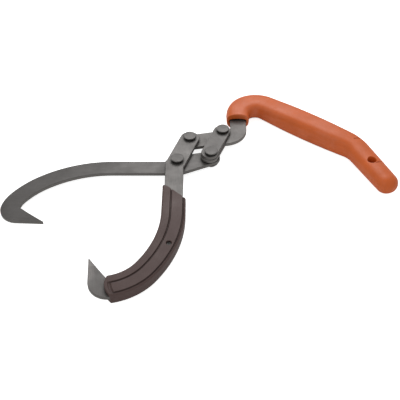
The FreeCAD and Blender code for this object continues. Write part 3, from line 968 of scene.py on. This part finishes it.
def grip_angles():
    """Angles round the grip's section, closer together at the two seams."""
    even = [2 * math.pi * step / GRIP_SPOTS for step in range(GRIP_SPOTS)]
    close = [base + offset for base in (0.0, math.pi) for offset in SEAM_SPOTS]
    return sorted(angle % (2 * math.pi) for angle in even + close)


def grip_ring(place, half_width, half_height, power, seam=0.0):
    """A rounded section across the grip; `power` 2 is an ellipse, more is squarer."""
    points = []
    for angle in grip_angles():
        across, up = math.cos(angle), math.sin(angle)
        # from the middle out to the section's outline at this angle, and the seam's ridge
        size = (abs(across / half_width) ** power + abs(up / half_height) ** power) ** (-1 / power)
        size += seam * (1 - min(abs(up) / SEAM_REACH, 1.0))
        points.append(beside(place, across * size, MID + up * size))
    return points


def grip_sizes():
    """Half width and half height against distance along the runs, for smooth_value."""
    widths, heights = [], []
    for run, share, half_width, half_height in GRIP_STATIONS:
        at = run_start(GRIP_RUNS, run) + share * run_length(*GRIP_RUNS[run])
        widths.append((at, half_width))
        heights.append((at, half_height))
    return widths, heights


def grip_place(along):
    return walk(HANDLE_START, HANDLE_HEADING, GRIP_RUNS, along)


def grip_power(along, power):
    """The section is squarest in the palm and rounder towards the mouth and the tail."""
    palm, tail = run_start(GRIP_RUNS, 2), run_start(GRIP_RUNS, 4)
    keys = [
        (MOUTH, power - MOUTH_LESS),
        (palm, power),
        (palm + POWER_REACH, power),
        (tail, TAIL_POWERS[0]),
        (tail + POWER_REACH, TAIL_POWERS[1]),
    ]
    return smooth_value(keys, along)


def grip_top(along, side, power):
    """Height of the grip's upper surface, beside a place on its line."""
    power = grip_power(along, power)
    widths, heights = grip_sizes()
    half_width, half_height = smooth_value(widths, along), smooth_value(heights, along)
    share = min(abs(side) / half_width, 0.999)
    return MID + half_height * (1 - share**power) ** (1 / power)


def grip_mesh(settings):
    """The grip, from the floor of its mouth's hollow out over the lip and on to its round end."""
    widths, heights = grip_sizes()
    power = settings.squareness
    seam, lip = settings.seam / MM, settings.lip / MM
    hollow = lip * 0.9  # how far in the hollow starts to flare
    inside, at_lip = POCKET_POWERS
    start, end = MOUTH, widths[-1][0]
    rings = []
    for depth in (*POCKET_DEPTHS, hollow):
        rings.append(grip_ring(grip_place(start + depth), *POCKET_HALF, inside))
    for step in range(1, 4):
        angle = math.radians(30 * step)
        sizes = [half + POCKET_FLARE * (1 - math.cos(angle)) for half in POCKET_HALF]
        here = start + hollow * (1 - math.sin(angle))
        rings.append(grip_ring(grip_place(here), *sizes, at_lip))
    mouth_power = grip_power(start, power)
    for step in range(5):
        angle = math.radians(90 - 22.5 * step)
        sizes = [keys[0][1] - lip * (1 - math.cos(angle)) for keys in (widths, heights)]
        here = start + lip * (1 - math.sin(angle))
        rings.append(grip_ring(grip_place(here), *sizes, mouth_power))
    for step in range(1, GRIP_RINGS + 1):
        at = start + lip + (end - start - lip) * step / GRIP_RINGS
        sizes = [smooth_value(keys, at) for keys in (widths, heights)]
        rings.append(grip_ring(grip_place(at), *sizes, grip_power(at, power), seam))
    half_width, half_height = widths[-1][1], heights[-1][1]
    end_power = grip_power(end, power)
    for step in range(1, 16):
        angle = math.radians(5.9 * step)
        at, shrink = end + half_width * math.sin(angle), math.cos(angle)
        rounder = 2.0 + (end_power - 2.0) * shrink
        sizes = half_width * shrink, half_height * shrink
        rings.append(grip_ring(grip_place(at), *sizes, rounder, seam * shrink))
    return skin("grip_moulded", rings)


def scored_line(name, points, power):
    """A thin round bead along (distance along the grip, side) pairs, sunk in its top."""
    centres = []
    for along, side in points:
        height = grip_top(along, side, power) + SCORE_RADIUS * SCORE_LIFT
        centres.append(beside(grip_place(along), side, height))
    rings = []
    last = len(centres) - 1
    for spot, centre in enumerate(centres):
        ahead = (centres[min(spot + 1, last)] - centres[max(spot - 1, 0)]).normalized()
        across = Vector((0, 0, 1)).cross(ahead).normalized()
        up = ahead.cross(across)
        # it thins out towards both ends
        size = SCORE_RADIUS * math.sin(math.pi * (0.12 + 0.76 * spot / last)) * MM
        ring = []
        for step in range(10):
            angle = 2 * math.pi * step / 10
            ring.append(centre + across * (size * math.cos(angle)) + up * (size * math.sin(angle)))
        rings.append(ring)
    return skin(name, rings)


def curved_points(first, middle, last, count=14):
    """(along, side) pairs on a smooth curve through three of them."""
    pairs = []
    for step in range(count + 1):
        t = step / count
        weights = (2 * (t - 0.5) * (t - 1), 4 * t * (1 - t), 2 * t * (t - 0.5))
        parts = list(zip(weights, (first, middle, last)))
        pairs.append(tuple(sum(weight * point[k] for weight, point in parts) for k in (0, 1)))
    return pairs


class TONGS_OT_build_grip(Operator):
    """Moulds the orange grip with its mouth, seam, hang hole and two scored lines"""

    bl_idname = "tongs.build_grip"
    bl_label = "Build grip"

    def execute(self, context):
        settings = context.scene.tongs.grip
        power = settings.squareness
        piece = grip_mesh(settings)
        hole_at = run_start(GRIP_RUNS, HANG_HOLE[0]) + HANG_HOLE[1]
        centre = (beside(grip_place(hole_at), HANG_HOLE[2], MID) - MAIN) / MM
        top = grip_top(hole_at, 0.0, power)
        faces = 2 * MID - top, top
        cutters = [hole_cutter("hang_hole", centre, HANG_HOLE_RADIUS, HANG_HOLE_RIM, *faces, 64)]
        for run, distance, spots in SCORED_LINES:
            base = run_start(GRIP_RUNS, run) + distance
            points = [(base + along, side) for along, side in curved_points(*spots)]
            cutters.append(scored_line("scored_line", points, power))
        carve(piece, cutters)
        # The last two settings paint shade into the scored lines, the hang hole and the mouth's hollow.
        material = plastic_material(
            "grip_plastic", settings,
            grain=1500.0, texture=0.4, edge=0.2, gloss=0.4, dark=0.22, gap_shade_share=0.9,
        )
        finish_piece(piece, material, "handle", ["grip"])
        return {"FINISHED"}


# ---- stage ----------------------------------------------------------------------------------
CAMERA_AIM = (23.6, -51.4)  # the middle of the view, in plan
FLOOR_REACH = 3.0  # from the middle of the floor to its sides, in metres
# place, aim and size of the two lights, in metres
OVERHEAD = (0.05, 0.42, 0.48), (0.03, 0.02, 0.0), (0.5, 0.4)
FRONT = (-0.5, -0.6, 0.8), (0.0, 0.0, 0.0), (0.8, 0.8)


def floor_material(settings):
    """Pale paper: near white with the faintest mottle."""
    material, tree, shader = new_material("stage_paper")
    tone = noise(tree, object_place(tree), 14.0, 4.0)
    colour = mix(tree, tone, colour_of(settings.floor, 0.985), colour_of(settings.floor, 1.0))
    tree.links.new(colour, shader.inputs["Base Color"])
    tree.links.new(remap(tree, tone, 0.0, 1.0, 0.85, 0.95), shader.inputs["Roughness"])
    shader.inputs["Specular IOR Level"].default_value = 0.1
    shader.inputs["Emission Color"].default_value = colour_of(settings.floor)
    seen = add(tree, "ShaderNodeLightPath").outputs["Is Camera Ray"]
    tree.links.new(maths(tree, "MULTIPLY", seen, settings.glow), shader.inputs["Emission Strength"])
    return material


def area_light(name, place, aim, size, power):
    light = bpy.data.lights.new(name, "AREA")
    light.shape = "RECTANGLE"
    light.size, light.size_y = size
    light.energy = power
    made = bpy.data.objects.new(name, light)
    made.location = place
    made.rotation_euler = (Vector(aim) - Vector(place)).to_track_quat("-Z", "Y").to_euler()
    bpy.context.scene.collection.objects.link(made)


class TONGS_OT_build_stage(Operator):
    """Sets up the pale floor, the soft lights and the camera"""

    bl_idname = "tongs.build_stage"
    bl_label = "Build stage"

    def execute(self, context):
        scene = context.scene
        settings = scene.tongs.stage
        corners = [(-1, -1, 0), (1, -1, 0), (1, 1, 0), (-1, 1, 0)]
        corners = [Vector(corner) * FLOOR_REACH for corner in corners]
        floor = new_object("stage_floor", corners, [(0, 1, 2, 3)])
        floor.data.materials.append(floor_material(settings))
        area_light("overhead", *OVERHEAD, settings.key)
        area_light("front", *FRONT, settings.fill)
        world = bpy.data.worlds.new("room")
        world.use_nodes = True
        back = world.node_tree.nodes["Background"]
        back.inputs["Color"].default_value = (1.0, 1.0, 1.0, 1.0)
        back.inputs["Strength"].default_value = settings.world
        scene.world = world
        scene.view_settings.view_transform = "Standard"
        lens = bpy.data.cameras.new("camera")
        lens.lens = settings.lens
        lens.sensor_width = 36.0
        lens.clip_start, lens.clip_end = 0.01, 20.0
        camera = bpy.data.objects.new("camera", lens)
        aim = plan_point(*CAMERA_AIM, MAIN.z / MM)
        back_off = Vector((0, -math.cos(settings.tilt), math.sin(settings.tilt)))
        camera.location = aim + back_off * settings.distance
        camera.rotation_euler = (math.pi / 2 - settings.tilt, 0, 0)
        scene.collection.objects.link(camera)
        scene.camera = camera
        return {"FINISHED"}


class TONGS_PT_panel(Panel):
    """Settings and steps of the log lifting tongs"""

    bl_idname = "TONGS_PT_panel"
    bl_label = "Log Lifting Tongs"
    bl_space_type = "VIEW_3D"
    bl_region_type = "UI"
    bl_category = "Tongs"

    def draw(self, context):
        layout = self.layout
        for name in ("steel", "rivets", "sleeve", "grip", "stage"):
            box = layout.box()
            box.label(text=name.capitalize())
            group = getattr(context.scene.tongs, name)
            for key in group.__annotations__:
                box.prop(group, key)
        for step in STEPS:
            layout.operator(step.bl_idname)


STEPS = (
    TONGS_OT_build_stage,
    TONGS_OT_finish_plates,
    TONGS_OT_build_rivets,
    TONGS_OT_build_washers,
    TONGS_OT_build_sleeve,
    TONGS_OT_build_grip,
)
SETTINGS = (
    TongsSteelSettings,
    TongsRivetSettings,
    TongsSleeveSettings,
    TongsGripSettings,
    TongsStageSettings,
    TongsSettings,
)


def register():
    for made in SETTINGS + STEPS + (TONGS_PT_panel,):
        bpy.utils.register_class(made)
    bpy.types.Scene.tongs = PointerProperty(type=TongsSettings)


def unregister():
    del bpy.types.Scene.tongs
    for made in reversed(SETTINGS + STEPS + (TONGS_PT_panel,)):
        bpy.utils.unregister_class(made)


def main():
    """Builds everything in order."""
    register()
    for left in ("Cube", "Light", "Camera"):
        if left in bpy.data.objects:
            bpy.data.objects.remove(bpy.data.objects[left])
    for step in STEPS:
        family, name = step.bl_idname.split(".")
        getattr(getattr(bpy.ops, family), name)()


if __name__ == "__main__":
    main()
